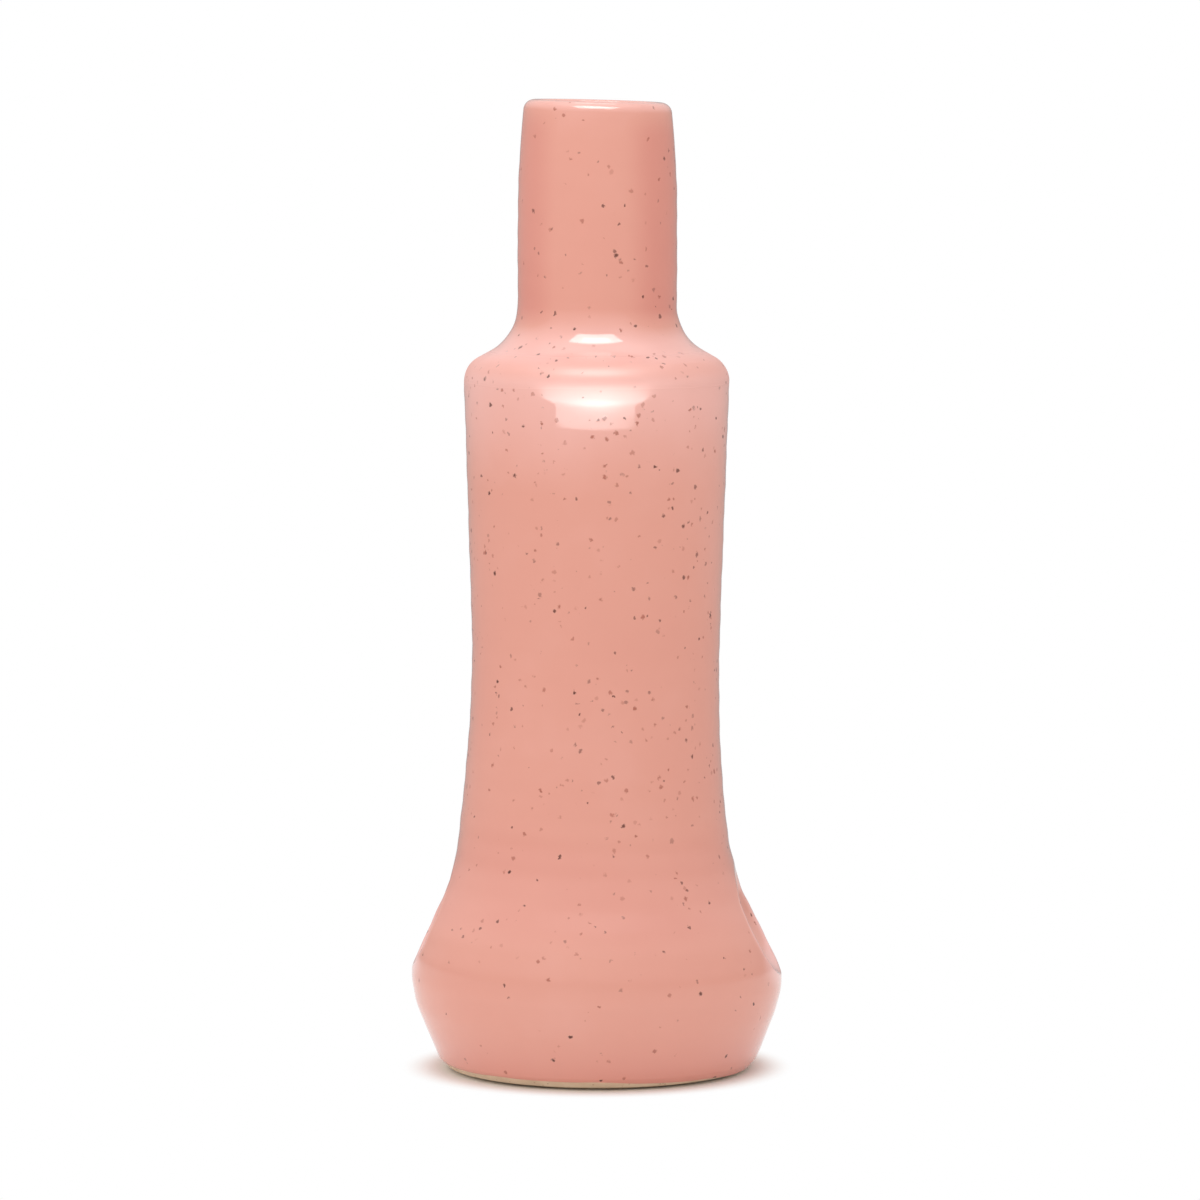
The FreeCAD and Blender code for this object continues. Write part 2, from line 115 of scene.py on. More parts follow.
def angle(name, degrees, text):
    """An angle, given in degrees."""
    return FloatProperty(
        name=name, description=text, default=math.radians(degrees), subtype="ANGLE"
    )


def colour(name, code, text):
    """A colour, given as an sRGB hex code."""
    return FloatVectorProperty(
        name=name, description=text, default=linear(code), subtype="COLOR", size=3
    )


class VaseSizes(PropertyGroup):
    """The pot's sizes. Radii and rounds are those of the glazed outside."""

    overall_height: FloatProperty(
        name="Height",
        description="From the ground to the top of the lip",
        default=CAD_BOX[1].z,
        unit="LENGTH",
    )
    clay_wall: length("Clay wall", 5.0, "Thickness of the fired clay")
    glaze: length("Glaze", 0.4, "Thickness of each coat of glaze")
    neck_radius: length("Neck radius", 20.8, "Radius of the straight part of the neck")
    neck_length: length("Neck length", 53.2, "From the lip down to the curve at the neck's base")
    neck_draw_length: length("Neck draw length", 32, "How far down the neck draws in to the lip")
    neck_draw_round: length("Neck draw round", 300, "Radius of the neck's draw towards the lip")
    lap_depth: length("Lap depth", 8, "How far the outer glaze laps down inside the mouth")
    neck_base_round: length("Neck base round", 13.5, "Radius of the curve from neck to shoulder")
    shoulder_slope: angle("Shoulder slope", 60.8, "Rise of the line square to the shoulder")
    shoulder_round: length("Shoulder round", 7.0, "Radius of the shoulder's edge")
    shoulder_inside: length("Inside shoulder", 3.5, "Radius of that edge on the clay inside")
    side_taper: angle("Side taper", 1.9, "How much the long side draws in below the shoulder")
    waist_radius: length("Waist radius", 32.45, "Radius at the narrowest part of the side")
    waist_height: length("Waist height", 108, "Height of the narrowest part of the side")
    waist_round: length("Waist round", 358, "Radius of the waist's long curve")
    flare_round: length("Flare round", 50, "Radius of the curve out to the belly")
    belly_reach: length("Belly reach", 16.25, "How far the belly stands out beyond the waist")
    belly_height: length("Belly height", 25.5, "Height of the belly's widest part")
    belly_round: length("Belly round", 30, "Radius of the belly's curve")
    foot_taper: angle("Foot taper", 22, "How much the side draws in under the belly")
    foot_round: length("Foot round", 6.2, "Radius of the curve down to the ground")
    foot_ring: length("Foot ring", 7, "Width of the bare ring that the pot stands on")
    foot_edge: length("Foot ring edge", 1.0, "Round of the ring's inner edge")
    recess_depth: length("Recess depth", 2.5, "Depth of the trimmed recess under the base")
    recess_slope: angle("Recess slope", 30, "Lean of the recess's wall")
    base_thickness: length("Base thickness", 6, "Thickness of the clay base")
    floor_round: length("Floor round", 6, "Round of the clay's inside corner at the floor")
    glaze_line: length("Glaze line", 2.5, "Greatest height at which the outer glaze stops")
    stand_height: length("Stand height", 3.2, "Height of the trimmed wall that the pot stands on")
    stand_lean: angle("Stand lean", 40, "How much that wall draws in towards the ground")
    stand_edge: length("Stand edge", 0.3, "Round of that wall's lower edge")
    stand_gap: length("Stand gap", 0.85, "How far that edge stays off the ground")

    def lap_height(self):
        """Height inside the mouth at which the outer glaze meets the liner."""
        return self.overall_height - self.lap_depth

    def floor_height(self):
        """Height of the clay's inside floor."""
        return self.recess_depth + self.base_thickness


class ThumbMark:
    """What both thumb marks have alike."""

    ridge: length("Ridge", 0.55, "Softness of the ridge round the hollow")
    crease: length("Crease", 0.8, "Softness of the swelling that the hollow leaves inside")


class RightThumb(ThumbMark, PropertyGroup):
    """The hollow that a thumb pressed into the belly on the right."""

    sink: length("Sink", 10.75, "How far the hollow's floor lies inside the belly's widest part")
    rise: length("Rise", 11.5, "How far the hollow's floor lies above the belly's widest part")
    tilt: angle("Tilt", 20.8, "How much the thumb pointed down")
    turn: angle("Turn", -0.9, "How far the hollow sits round towards the front")
    fore_round: length("Fore round", 22.0, "Radius of the hollow along the thumb")
    side_round: length("Side round", 43.9, "Radius of the hollow across the thumb")


class LeftThumb(ThumbMark, PropertyGroup):
    """The hollow on the left, which the potter's other thumb pressed a little higher."""

    sink: length("Sink", 9.7, "How far the hollow's floor lies inside the belly's widest part")
    rise: length("Rise", 13.2, "How far the hollow's floor lies above the belly's widest part")
    tilt: angle("Tilt", 22.3, "How much the thumb pointed down")
    turn: angle("Turn", 1.3, "How far the hollow sits round towards the front")
    fore_round: length("Fore round", 25.3, "Radius of the hollow along the thumb")
    side_round: length("Side round", 39.2, "Radius of the hollow across the thumb")


class VaseColours(PropertyGroup):
    """The colours of the clay and the glaze, and of the paper and the room round them."""

    glaze: colour("Glaze", "#E4A191", "Glaze at its usual thickness")
    # Also the painted light: the paler shoulder and the pale band along the thumb marks' ridges.
    thin_glaze_and_painted_light: colour("Thin glaze", "#F6BFB7", "Glaze that drew thin over an edge")
    # Also the painted shade: the flare, the shoulder's edge and the bands down the neck's sides.
    thick_glaze_and_painted_shade: colour("Thick glaze", "#DC9284", "Glaze that pooled")
    speck: colour("Iron speck", "#52291F", "Middle of an iron speck that came through the glaze")
    speck_halo: colour("Speck halo", "#A8604F", "Glaze stained by a speck just under it")
    clay: colour("Clay", "#E8D2B6", "Bare fired clay")
    clay_grog: colour("Grog", "#A9835F", "Grains of grog in the clay")
    paper: colour("Paper", "#F8F5F0", "Paper that the vase stands on, where it takes the shadow")
    backdrop: colour("Backdrop", "#FFFFFF", "The paper further out and the room behind")


def heading(turn):
    """Unit vector in the section, at an angle up from the way out from the axis."""
    return Vector((math.cos(turn), 0, math.sin(turn)))


def crossing(first, first_reach, second, second_reach):
    """The point whose distance along each of two unit vectors is given."""
    span = first.x * second.z - first.z * second.x
    across = (first_reach * second.z - second_reach * first.z) / span
    up = (second_reach * first.x - first_reach * second.x) / span
    return Vector((across, 0, up))


def touching(lower, lower_gap, upper, upper_gap):
    """The point outside the pot at one distance from one centre and another from the other."""
    span = upper - lower
    along = (lower_gap**2 - upper_gap**2 + span.length_squared) / (2 * span.length)
    aside = math.sqrt(lower_gap**2 - along**2)
    way = span.normalized()
    return lower + way * along + Vector((-way.z, 0, way.x)) * aside


class Turned:
    """The section of one turned surface, which lies a given depth inside the glazed outside.

    It is drawn as links. A link is an arc: its centre and radius, its first and last turn and
    the length of a row of faces on it.
    """

    def __init__(self, sizes, depth, shoulder_inset, foot_height, foot_round):
        wall = sizes.clay_wall + 2 * sizes.glaze
        slope_way = heading(sizes.shoulder_slope)
        side_way = heading(-sizes.side_taper)
        taper_way = heading(-sizes.foot_taper)
        base_across = sizes.neck_radius + sizes.neck_base_round
        waist_across = sizes.waist_radius + sizes.waist_round
        belly_across = sizes.waist_radius + sizes.belly_reach - sizes.belly_round
        self.depth = depth
        self.wall = wall
        self.sizes = sizes
        self.shoulder_inset = shoulder_inset
        self.foot_round = foot_round

        draw_across = sizes.neck_radius - sizes.neck_draw_round
        self.draw = Vector((draw_across, 0, sizes.overall_height - sizes.neck_draw_length))
        lip_up = sizes.overall_height - wall / 2 - self.draw.z
        lip_reach = sizes.neck_draw_round - wall / 2
        self.lip_turn = math.asin(lip_up / lip_reach)
        self.lip = self.draw + heading(self.lip_turn) * lip_reach

        self.neck_base = Vector((base_across, 0, sizes.overall_height - sizes.neck_length))
        self.waist = Vector((waist_across, 0, sizes.waist_height))
        self.belly = Vector((belly_across, 0, sizes.belly_height))
        belly_gap = sizes.belly_round + sizes.flare_round
        waist_gap = sizes.waist_round - sizes.flare_round
        self.flare = touching(self.belly, belly_gap, self.waist, waist_gap)
        span = self.waist - self.flare
        self.waist_turn = math.atan2(span.z, span.x)
        span = self.flare - self.belly
        self.flare_turn = math.atan2(span.z, span.x)

        slope_reach = slope_way.dot(self.neck_base) - sizes.neck_base_round - shoulder_inset
        side_reach = side_way.dot(self.waist) - sizes.waist_round - shoulder_inset
        self.shoulder = crossing(slope_way, slope_reach, side_way, side_reach)
        taper_reach = taper_way.dot(self.belly) + sizes.belly_round - depth - foot_round
        level = foot_height + foot_round
        self.foot = crossing(taper_way, taper_reach, Vector((0, 0, 1)), level)

    def lip_links(self):
        """From the lap inside the mouth up and over the lip to the neck's draw."""
        outer = self.sizes.neck_draw_round - self.depth
        inner = self.sizes.neck_draw_round - self.wall + self.depth
        lip = self.wall / 2 - self.depth
        lap_turn = math.asin((self.sizes.lap_height() - self.draw.z) / inner)
        return [
            (self.draw, inner, lap_turn, self.lip_turn, Row.lap),
            (self.lip, lip, self.lip_turn + math.pi, self.lip_turn, Row.lip),
            (self.draw, outer, self.lip_turn, 0, Row.neck),
        ]

    def side_links(self):
        """From the straight neck down over shoulder, side, waist and belly to the foot's taper."""
        sizes = self.sizes
        depth = self.depth
        slope = sizes.shoulder_slope
        side = -sizes.side_taper
        base_round = sizes.neck_base_round + depth
        waist_end = math.pi + self.waist_turn
        flare_end = math.pi + self.flare_turn
        return [
            (self.neck_base, base_round, math.pi, math.pi + slope, Row.neck_base),
            (self.shoulder, self.shoulder_inset - depth, slope, side, Row.shoulder),
            (self.waist, sizes.waist_round + depth, math.pi + side, waist_end, Row.side),
            (self.flare, sizes.flare_round + depth, waist_end, flare_end, Row.belly),
            (self.belly, sizes.belly_round - depth, self.flare_turn, -sizes.foot_taper, Row.belly),
        ]

    def hollow_neck_link(self):
        """The inside of the neck, from its straight part up to the lap."""
        radius = self.sizes.neck_draw_round - self.depth
        lap_turn = math.asin((self.sizes.lap_height() - self.draw.z) / radius)
        return self.draw, radius, 0, lap_turn, Row.hollow

    def floor_link(self, row):
        """The corner inside the pot, from the floor up to the taper under the belly."""
        return self.foot, self.foot_round, DOWN, -self.sizes.foot_taper, row

    def foot_link(self, row):
        """The curve outside, from the taper under the belly down to the trimmed wall."""
        return self.foot, self.foot_round, -self.sizes.foot_taper, self.stand_turn(), row

    def stand_turn(self):
        """How far round the foot's curve the trimmed wall starts."""
        return math.asin((self.sizes.stand_height - self.foot.z) / self.foot_round)

    def foot_reach(self, height):
        """How far from the axis the foot's curve and the trimmed wall lie at some heights."""
        top = self.sizes.stand_height
        up = np.clip(height, top, self.foot.z) - self.foot.z
        curve = self.foot.x + np.sqrt(self.foot_round**2 - up**2)
        return curve - np.clip(top - height, 0, top) * math.tan(self.sizes.stand_lean)

    def stand_point(self, height):
        """The point of the trimmed wall at a height."""
        return Vector((float(self.foot_reach(height)), 0, height))


def backwards(links):
    """The same arcs, drawn from their other end."""
    return [(*arc, last, first, row) for *arc, first, last, row in links[::-1]]


def coarser(links, times):
    """The same arcs, with rows that are so many times longer."""
    return [(*arc, times * row) for *arc, row in links]


def start_of(link):
    """The point at which a link starts."""
    centre, radius, first, _last, _row = link
    return centre + heading(first) * radius


def place_pen(name, point):
    """Start a new mesh as one point of the section, in edit mode."""
    bpy.ops.object.select_all(action="DESELECT")
    bpy.ops.mesh.primitive_plane_add(size=MM, location=(0, 0, 0), enter_editmode=True)
    bpy.context.object.name = name
    bpy.context.object.data.name = name
    bpy.ops.mesh.merge(type="CENTER")
    bpy.ops.transform.translate(value=point)


def draw_line(start, end, row):
    """Pull the section's last point along a straight line, in rows."""
    span = end - start
    rows = max(1, math.ceil(span.length / row))
    for _row in range(rows):
        bpy.ops.mesh.extrude_region_move(TRANSFORM_OT_translate={"value": span / rows})


def continue_section(links, line_row=Row.plain_line):
    """Draw links one after another, joined by straight lines where they don't meet.

    The pen must be where the first link starts. Gives where the last one ends.
    """
    pen = start_of(links[0])
    for centre, radius, first, last, row in links:
        start = centre + heading(first) * radius
        if (start - pen).length > MEETS:
            draw_line(pen, start, line_row)
        rows = max(1, math.ceil(abs(last - first) * radius / row))
        bpy.ops.mesh.spin(steps=rows, angle=last - first, center=centre, axis=(0, 1, 0))
        pen = centre + heading(last) * radius
    return pen


def turn_section():
    """Turn the drawn section about the pot's axis, with narrow columns for the thumb marks."""
    marked, column, wide_column = np.radians((26, 0.88, 3.25)).tolist()
    plain = math.pi - 2 * marked
    bpy.ops.mesh.select_all(action="SELECT")
    for span, step in (
        (marked, column),
        (plain, wide_column),
        (2 * marked, column),
        (plain, wide_column),
        (marked, column),
    ):
        steps = math.ceil(span / step)
        bpy.ops.mesh.spin(steps=steps, angle=span, center=(0, 0, 0), axis=(0, 0, 1))
    bpy.ops.mesh.select_all(action="SELECT")
    bpy.ops.mesh.remove_doubles(threshold=WELD)
    bpy.ops.mesh.normals_make_consistent(inside=False)
    bpy.ops.mesh.select_all(action="DESELECT")
    bpy.ops.object.mode_set(mode="OBJECT")
    return bpy.context.object


def read_points(piece):
    """A piece's points and the normals at them."""
    mesh = piece.data
    points = np.empty((len(mesh.vertices), 3), np.float32)
    normals = np.empty((len(mesh.vertices), 3), np.float32)
    mesh.vertices.foreach_get("co", points.ravel())
    mesh.vertices.foreach_get("normal", normals.ravel())
    return points.astype(float), normals.astype(float)


def write_points(piece, points):
    """Move a piece's points."""
    piece.data.vertices.foreach_set("co", points.astype(np.float32).ravel())
    piece.data.update()


def smooth_step(low, high, value):
    """0 below low, 1 above high and a smooth rise between them."""
    share = np.clip((value - low) / (high - low), 0, 1)
    return share * share * (3 - 2 * share)


def stretch(start, full, fade, end, value):
    """1 from full to fade, 0 below start and above end, and smooth between them."""
    return smooth_step(start, full, value) * (1 - smooth_step(fade, end, value))


def bump(middle, width, value):
    """1 at the middle, fading as a bell to both sides."""
    return np.exp(-(((value - middle) / width) ** 2))


def from_axis(points):
    """How far points lie from the pot's axis."""
    return np.hypot(points[:, 0], points[:, 1])


def from_front(points):
    """How far round from the front points lie, as an angle, more than nothing on the right."""
    return np.arctan2(points[:, 0], -points[:, 1])


def above_thumb(points, depth, sizes, marks):
    """How far points lie from a thumb that pushed a surface in, less than nothing inside it.

    Each thumb is a barrel, turned about a line that leans with the thumb.
    """
    clear = np.empty(len(points))
    belly = sizes.waist_radius + sizes.belly_reach
    for side, mark in zip((1, -1), marks):
        chosen = points[:, 0] * side > 0
        out = points[chosen, 0] * side
        front = points[chosen, 1]
        push = heading(mark.tilt)
        hollow = Vector((belly - mark.sink, 0, sizes.belly_height + mark.rise))
        pivot = hollow + push * mark.side_round
        across = out * math.cos(mark.turn) - front * math.sin(mark.turn) - pivot.x
        aside = out * math.sin(mark.turn) + front * math.cos(mark.turn)
        up = points[chosen, 2] - pivot.z
        along = up * push.x - across * push.z
        away = np.hypot(across * push.x + up * push.z, aside)
        bend = away - mark.side_round + mark.fore_round
        clear[chosen] = np.hypot(bend, along) - mark.fore_round - depth
    return clear


def press(piece, sizes, marks, outer_depth, inner_depth):
    """Push both thumb marks into a piece whose outward and inward faces lie at these depths.

    Each point moves along its normal until it meets the thumb, with a soft ridge where the
    hollow starts. Gives how much paler the glaze is at each point along the ridges: partly
    thinner glaze that drew off them, partly a painted highlight where a ridge catches the light.
    """
    least_facing = 0.3
    halvings = 32
    faded_ridge = 1.2 * MM
    pale_width, pale_tip_width = 0.9 * MM, 2.4 * MM
    points, normals = read_points(piece)
    around = points[:, :2] / np.maximum(from_axis(points), MM)[:, None]
    outward = (normals[:, :2] * around).sum(1)
    way = normals * np.sign(outward)[:, None]
    thin = np.zeros(len(points))
    near = (np.abs(points[:, 0]) > sizes.waist_radius / 2) & (points[:, 2] < sizes.waist_height)
    near &= np.abs(outward) > least_facing
    ridge, crease = marks[0].ridge, marks[0].crease
    for facing, depth, soft in ((1, outer_depth, ridge), (-1, inner_depth, crease)):
        chosen = near & (outward * facing > 0)
        start = points[chosen]
        into = way[chosen]
        fading = smooth_step(*(sizes.belly_height + RIDGE_FADES), start[:, 2])
        wide = soft + faded_ridge * fading
        low = np.zeros(len(start))
        high = np.full(len(start), 2 * marks[0].sink)
        for _halving in range(halvings):
            middle = (low + high) / 2
            clear = above_thumb(start - into * middle[:, None], depth, sizes, marks)
            blend = np.maximum(wide - np.abs(clear - middle), 0) ** 2 / (4 * wide)
            outside = np.maximum(-middle, -clear) + blend > 0
            low = np.where(outside, middle, low)
            high = np.where(outside, high, middle)
        points[chosen] = start - into * high[:, None]
        # Pale band along the ridge: thinner glaze and a painted highlight, widest at the hollow's
        # lower tip.
        tip = 1 - smooth_step(*(sizes.belly_height + PALE_NARROWS), start[:, 2])
        clear = above_thumb(start, depth, sizes, marks)
        thin[chosen] = bump(0, pale_width + pale_tip_width * tip, clear) * (1 - fading)
    write_points(piece, points)
    return -thin


def sharpen_ridges(piece, sizes, marks):
    """Divide the faces along the ridges round the thumb marks, so that these come out clean."""
    within, beyond = 1.6 * MM, 1.2 * MM
    middles = np.empty((len(piece.data.polygons), 3), np.float32)
    piece.data.polygons.foreach_get("center", middles.ravel())
    reach = from_axis(middles)
    belly_top = sizes.waist_height / 1.5
    least_aside = reach / 1.5
    band = (middles[:, 2] < belly_top) & (np.abs(middles[:, 0]) > least_aside)
    clear = above_thumb(middles.astype(float), 0, sizes, marks)
    band &= (clear > -within) & (clear < beyond) & (reach > sizes.waist_radius)
    piece.data.polygons.foreach_set("select", band)
    bpy.ops.object.mode_set(mode="EDIT")
    bpy.ops.mesh.select_mode(type="FACE")
    bpy.ops.mesh.subdivide(number_cuts=1)
    bpy.ops.mesh.select_all(action="DESELECT")
    bpy.ops.mesh.select_mode(type="VERT")
    bpy.ops.object.mode_set(mode="OBJECT")


def ragged_line(points, sizes):
    """Height at which the outer glaze stops all round the foot. It ran lower on the right."""
    turns = np.radians([-180, -120, -58, 0, 20, 43, 63, 85, 120, 180])
    share = np.array([0.8, 0.97, 0.98, 1.0, 0.76, 0.56, 0.4, 0.38, 0.55, 0.75])
    around = from_front(points)
    # Two small waves, with 9 and 17 crests all round, as a wet sponge leaves them
    wave = 0.03 * np.sin(9 * around + 0.6) + 0.02 * np.sin(17 * around)
    lowest, highest = share.min(), 1.1
    return sizes.glaze_line * np.clip(np.interp(around, turns, share) + wave, lowest, highest)


def trim_glaze(piece, sizes, shown, hidden):
    """Slide the glaze's last rows up or down the foot to the ragged line where it stopped."""
    points, _normals = read_points(piece)
    top = sizes.foot_round
    low = points[:, 2] < top
    height = points[low, 2]
    reach = from_axis(points[low])
    outer = reach > (shown.foot_reach(height) + hidden.foot_reach(height)) / 2
    line = ragged_line(points[low], sizes)
    raised = line + (height - sizes.glaze_line) * (top - line) / (top - sizes.glaze_line)
    shown_slide = shown.foot_reach(raised) - shown.foot_reach(height)
    hidden_slide = hidden.foot_reach(raised) - hidden.foot_reach(height)
    slide = np.where(outer, shown_slide, hidden_slide)
    points[low, :2] *= (1 + slide / reach)[:, None]
    points[low, 2] = raised
    write_points(piece, points)


def glaze_flow(piece, sizes):
    """How the glaze ran, with light and shade painted in, as the share by which it is thicker and
    darker, or thinner and paler if less than nothing.

    It drew thin on the lip. From the shoulder down it is paler, partly from thinner glaze and
    partly from painted light; less so on the shoulder's edge, where a pinker band is painted
    shade. It pooled thicker on the foot. The darker flare, which faces up, is painted shade, and
    so are the darker bands down both sides of the neck, which are darker on the right.
    """
    points, _normals = read_points(piece)
    height = points[:, 2] / MM
    below = sizes.overall_height / MM - height
    aside = points[:, 0] / np.maximum(from_axis(points), MM)
    foot = 1 - smooth_step(3, 16, height)
    # Painted shade: the flare faces up and takes more of the lamp from above, so its colour is
    # made darker.
    flare = stretch(34, 44, 56, 70, height)
    # Paler from the shoulder down: partly thinner glaze, partly painted light and sheen on the lit
    # upper body.
    shoulder = stretch(52, 63, 72, 104, below)
    # Painted shade: a pinker band on the shoulder's edge, which tones down the gloss there.
    edge = stretch(65, 68, 69, 72, below)
    lip = 1 - smooth_step(1, 3, below)
    neck = (1 - smooth_step(52, 63, below)) * smooth_step(1, 9, below)
    # Painted shade: darker bands down the left and right sides of the neck, a little darker on the
    # right.
    painted_neck_side_shade = smooth_step(0.35, 0.78, aside) + 0.85 * smooth_step(-0.45, -0.82, aside)
    thicker = 0.5 * foot + 0.35 * flare + 0.33 * edge + 0.95 * painted_neck_side_shade * neck
    thinner = 0.75 * shoulder + 0.35 * lip
    return thicker - thinner


def settle(piece, sizes, hollow=False):
    """Sway, throwing rings and rim tilt of a pot made by hand, shared by all its layers.

    The rings are faint outside, where a rib smoothed them, and plain inside. The clay sank
    a little over each thumb mark.
    """
    # How far the pot sways to the right at some heights
    heights = np.array([0, 22, 50, 66, 120, 178, 205, 254]) * MM
    sway = np.array([0.3, 0.0, -0.85, -0.95, -0.25, -0.1, 0.1, 0.2]) * MM
    ring_pitch, ring_height = 7 * MM, 0.05 * MM
    swell_pitch, swell_height = 19 * MM, 0.04 * MM
    inside_share = 3.5
    calm_middle = 10 * MM
    dent_height, dent_rise, dent_width, dent_depth = 56 * MM, 5.5 * MM, 14 * MM, 0.5 * MM
    rim_tilt, rim_lift, rim_reach = math.radians(1.55), 0.45 * MM, 25 * MM

    points, normals = read_points(piece)
    height = points[:, 2].copy()
    top = sizes.overall_height
    place = np.clip(np.searchsorted(heights, height) - 1, 0, len(heights) - 2)
    share = smooth_step(heights[place], heights[place + 1], height)
    lean = sway[place] * (1 - share) + sway[place + 1] * share

    reach = np.maximum(from_axis(points), MM)
    inside = ((normals[:, :2] * points[:, :2]).sum(1) < 0) | hollow
    inside &= height < top - 9 * MM  # the lap of outer glaze stays even
    climb = 2 * math.pi * height + from_front(points) * ring_pitch
    rings = ring_height * np.sin(climb / ring_pitch) + swell_height * np.sin(climb / swell_pitch)
    push = rings * stretch(8 * MM, 20 * MM, top - 20 * MM, top - 10 * MM, height)
    push *= np.where(inside, inside_share, 1) * np.minimum(reach / calm_middle, 1)
    points[:, :2] *= (1 + push / reach)[:, None]

    dent = dent_depth * bump(dent_height, dent_rise, height) * bump(0, dent_width, points[:, 1])
    points[:, :2] *= (1 - dent / reach)[:, None]
    crest = sizes.neck_radius - sizes.clay_wall + sizes.glaze
    drop = math.tan(rim_tilt) * (points[:, 0] + crest) - rim_lift
    points[:, 2] -= smooth_step(top - rim_reach, top, height) * drop
    points[:, 0] += lean
    write_points(piece, points)


def finish_piece(piece, node):
    """A finished piece stands for its solid and rides with it."""
    bpy.ops.object.select_all(action="DESELECT")
    piece.select_set(True)
    bpy.context.view_layer.objects.active = piece
    bpy.ops.object.shade_smooth_by_angle(angle=SMOOTH_UP_TO)
    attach(piece, "root")
    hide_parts(node)


def add(tree, kind, feeds=None, **settings):
    """Add a node with its settings, and give its inputs values or the output of another node.

    Its kind is without the ShaderNode that they all start with. Inputs go by name, or by
    number where names repeat: 0, 1 and 2 are the values of a Math node, and a Mix node has
    its share at 0, its values at 2 and 3 and its colours at 6 and 7.
    """
    node = tree.nodes.new("ShaderNode" + kind)
    for name, value in settings.items():
        setattr(node, name, value)
    for socket, value in (feeds or {}).items():
        if isinstance(value, bpy.types.Node):
            value = next(output for output in value.outputs if output.enabled)
        if isinstance(value, bpy.types.NodeSocket):
            tree.links.new(value, node.inputs[socket])
        else:
            node.inputs[socket].default_value = value
    return node


def ramp(value, low, high, at_low=0.0, at_high=1.0):
    """Inputs of a Map Range node that goes from one value to another between low and high."""
    names = ("Value", "From Min", "From Max", "To Min", "To Max")
    return dict(zip(names, (value, low, high, at_low, at_high)))


def noise(place, size, detail):
    """Inputs of a Noise node whose grains have a real size."""
    return {"Vector": place, "Scale": 1 / size, "Detail": detail}


def tinted(tree, body, *tints):
    """A colour with tints laid over it one after another, each by its share."""
    body = opaque(body)
    for share, tint in tints:
        body = add(tree, "Mix", {0: share, 6: body, 7: opaque(tint)}, data_type="RGBA")
    return body


def new_material(name):
    """An empty material and its tree."""
    material = bpy.data.materials.new(name)
    material.use_nodes = True
    material.node_tree.nodes.clear()
    return material, material.node_tree


def opaque(value):
    """A colour with full alpha, as a colour socket wants it."""
    return (*value, 1.0)


def speck_layer(tree, coords, crowding, spacing, small, large, share):
    """Specks of one kind, as balls of iron in a solid that the surface cuts through.

    Gives how much of a speck covers each place, and a random strength for each speck.
    """
    solid_part = 0.45
    cells = add(tree, "TexVoronoi", {"Vector": coords, "Scale": 1 / spacing})
    draws = add(tree, "TexWhiteNoise", {"Vector": cells.outputs["Color"]})
    chance = add(tree, "SeparateColor", {0: draws.outputs["Color"]})
    picked, drawn_size, strength = chance.outputs
    sizes = ramp(drawn_size, 0.0, 1.0, small / spacing, large / spacing)
    size = add(tree, "MapRange", sizes)
    core = add(tree, "Math", {0: size, 1: solid_part}, operation="MULTIPLY")
    edge = ramp(cells.outputs["Distance"], size, core)
    cover = add(tree, "MapRange", edge, interpolation_type="SMOOTHSTEP")
    limit = add(tree, "Math", {0: crowding, 1: share}, operation="MULTIPLY")
    there = add(tree, "Math", {0: picked, 1: limit}, operation="LESS_THAN")
    covered = add(tree, "Math", {0: cover, 1: there}, operation="MULTIPLY")
    return covered, strength


